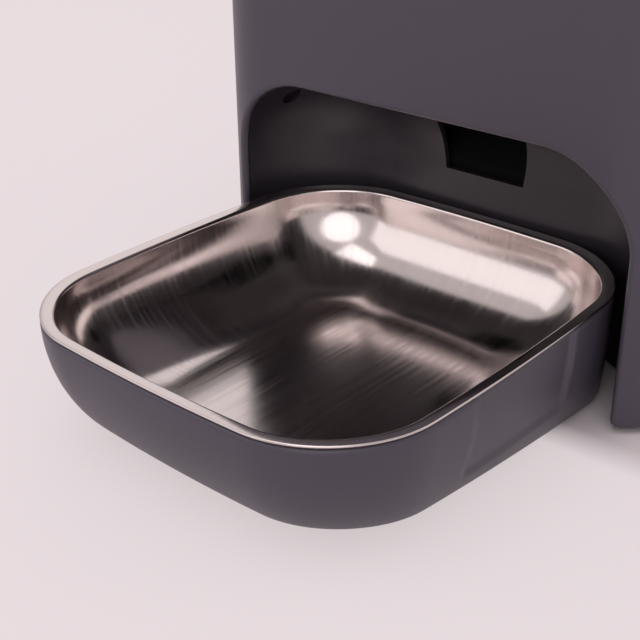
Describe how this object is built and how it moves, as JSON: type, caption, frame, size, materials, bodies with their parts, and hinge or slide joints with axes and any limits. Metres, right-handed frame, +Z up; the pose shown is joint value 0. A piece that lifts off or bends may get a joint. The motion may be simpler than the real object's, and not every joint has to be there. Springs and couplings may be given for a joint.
{
  "type": "smart pet feeder",
  "caption": "Rounded square automatic pet feeder with an arched bay, a slide-out tray holding a steel bowl, a lift-out smoked hopper with a metering rotor, and a twist-lock lid.",
  "frame": {"origin": "centre of the underside's rectangle, at the height of the surface it stands on", "axes": "+Z up, -Y towards the tray at the front, +X to the right seen from the front"},
  "size_m": [0.19, 0.308, 0.3189],
  "materials": {
    "slate_shell": "fine matte, slate grey",
    "slate_bay": "matte, dark slate",
    "slate_tray": "fine matte, slate grey",
    "slate_lid": "fine matte, slate grey",
    "slate_knob": "fine matte, slate grey",
    "smoked_clear": "clear, smoked",
    "bowl_steel": "brushed stainless steel",
    "dark_lens": "polished, dark",
    "black_plastic": "moulded, matte",
    "foot_rubber": "matte rubber",
    "seal_rubber": "soft silicone",
    "food_plastic": "pale moulded plastic",
    "gear_plastic": "natural acetal",
    "steel_pin": "ground steel",
    "motor_can": "plated steel",
    "screw_zinc": "zinc plated",
    "board_green": "solder mask",
    "cell_jacket": "printed film over steel",
    "contact_nickel": "nickel plated",
    "light_clear": "frosted clear",
    "drying_bag": "non-woven paper bag"
  },
  "bodies": {
    "housing": {"outer_shell": "slate_shell", "bay_liner": "slate_bay", "sensor_eyes": "dark_lens", "base_plate": "black_plastic", "rubber_feet": "foot_rubber", "backup_cells": "cell_jacket", "battery_contacts": "contact_nickel", "deck": "black_plastic", "chute": "black_plastic", "gearbox_housing": "black_plastic", "gearbox_cover": "black_plastic", "gear_axles": "steel_pin", "gear_motor": "motor_can", "main_board": "board_green", "power_socket": "contact_nickel", "front_board": "board_green", "button_switch": "black_plastic", "light_guide": "light_clear", "base_screws": "screw_zinc", "deck_screws": "screw_zinc", "chute_screws": "screw_zinc", "gearbox_screws": "screw_zinc", "motor_screws": "screw_zinc", "main_board_screws": "screw_zinc", "front_board_screws": "screw_zinc"},
    "tray": {"food_tray": "slate_tray", "tray_pads": "foot_rubber"},
    "bowl": {"steel_bowl": "bowl_steel"},
    "door": {"battery_door": "black_plastic"},
    "output": {"output_gear": "gear_plastic"},
    "idler": {"idler_gear": "gear_plastic"},
    "motor_drive": {"motor_pinion": "gear_plastic", "motor_shaft": "steel_pin"},
    "hopper": {"hopper_tank": "smoked_clear", "rotor_well": "food_plastic", "well_bush": "gear_plastic", "rotor_guard": "food_plastic", "well_screws": "screw_zinc"},
    "rotor": {"metering_rotor": "food_plastic", "stirrer": "food_plastic", "stirrer_screw": "screw_zinc"},
    "lid": {"lid": "slate_lid", "lid_seal": "seal_rubber", "lid_plate": "slate_bay", "lid_screws": "screw_zinc"},
    "knob": {"twist_knob": "slate_knob", "latch_pinion": "gear_plastic"},
    "bolt_left": {"left_bolt": "gear_plastic"},
    "bolt_right": {"right_bolt": "gear_plastic"},
    "drying_pod": {"desiccant_cover": "food_plastic", "desiccant_pack": "drying_bag"},
    "button": {"feed_button": "slate_knob"}
  },
  "joints": [
    {"name": "tray_slide", "type": "slide", "parent": "housing", "child": "tray", "axis": [0, -1, 0], "range_m": [0, 0.09]},
    {"name": "bowl_lift", "type": "slide", "parent": "tray", "child": "bowl", "axis": [0, 0, 1], "range_m": [0, 0.022]},
    {"name": "battery_door_release", "type": "slide", "parent": "housing", "child": "door", "axis": [0, 0, -1], "range_m": [0, 0.03]},
    {"name": "button_press", "type": "slide", "parent": "housing", "child": "button", "axis": [0, 1, 0], "range_m": [0, 0.0012], "stiffness_N_per_m": 800},
    {"name": "hopper_lift", "type": "slide", "parent": "housing", "child": "hopper", "axis": [0, 0, 1], "range_m": [0, 0.1]},
    {"name": "rotor_spin", "type": "hinge", "parent": "hopper", "child": "rotor", "pos_m": [0, 0.062, 0.1255], "axis": [0, 0, 1], "continuous": true},
    {"name": "output_spin", "type": "hinge", "parent": "housing", "child": "output", "pos_m": [0, 0.062, 0.107], "axis": [0, 0, 1], "continuous": true},
    {"name": "idler_spin", "type": "hinge", "parent": "housing", "child": "idler", "pos_m": [0, 0.086, 0.1], "axis": [0, 0, 1], "continuous": true},
    {"name": "motor_spin", "type": "hinge", "parent": "housing", "child": "motor_drive", "pos_m": [0, 0.11, 0.1], "axis": [0, 0, 1], "continuous": true},
    {"name": "lid_lift", "type": "slide", "parent": "hopper", "child": "lid", "axis": [0, 0, 1], "range_m": [0, 0.06]},
    {"name": "knob_turn", "type": "hinge", "parent": "lid", "child": "knob", "pos_m": [0, 0.059, 0.311], "axis": [0, 0, 1], "range_deg": [0, 90]},
    {"name": "left_bolt_slide", "type": "slide", "parent": "lid", "child": "bolt_left", "axis": [-1, 0, 0], "range_m": [0, 0.00755]},
    {"name": "right_bolt_slide", "type": "slide", "parent": "lid", "child": "bolt_right", "axis": [1, 0, 0], "range_m": [0, 0.00755]},
    {"name": "drying_pod_release", "type": "slide", "parent": "lid", "child": "drying_pod", "axis": [0, 0, -1], "range_m": [0, 0.03]}
  ],
  "couplings": [
    {"joint": "output_spin", "follows": "rotor_spin", "ratio": 1},
    {"joint": "idler_spin", "follows": "rotor_spin", "ratio": -3},
    {"joint": "motor_spin", "follows": "rotor_spin", "ratio": 9},
    {"joint": "left_bolt_slide", "follows": "knob_turn", "m_per_rad": 0.0048},
    {"joint": "right_bolt_slide", "follows": "knob_turn", "m_per_rad": 0.0048}
  ]
}
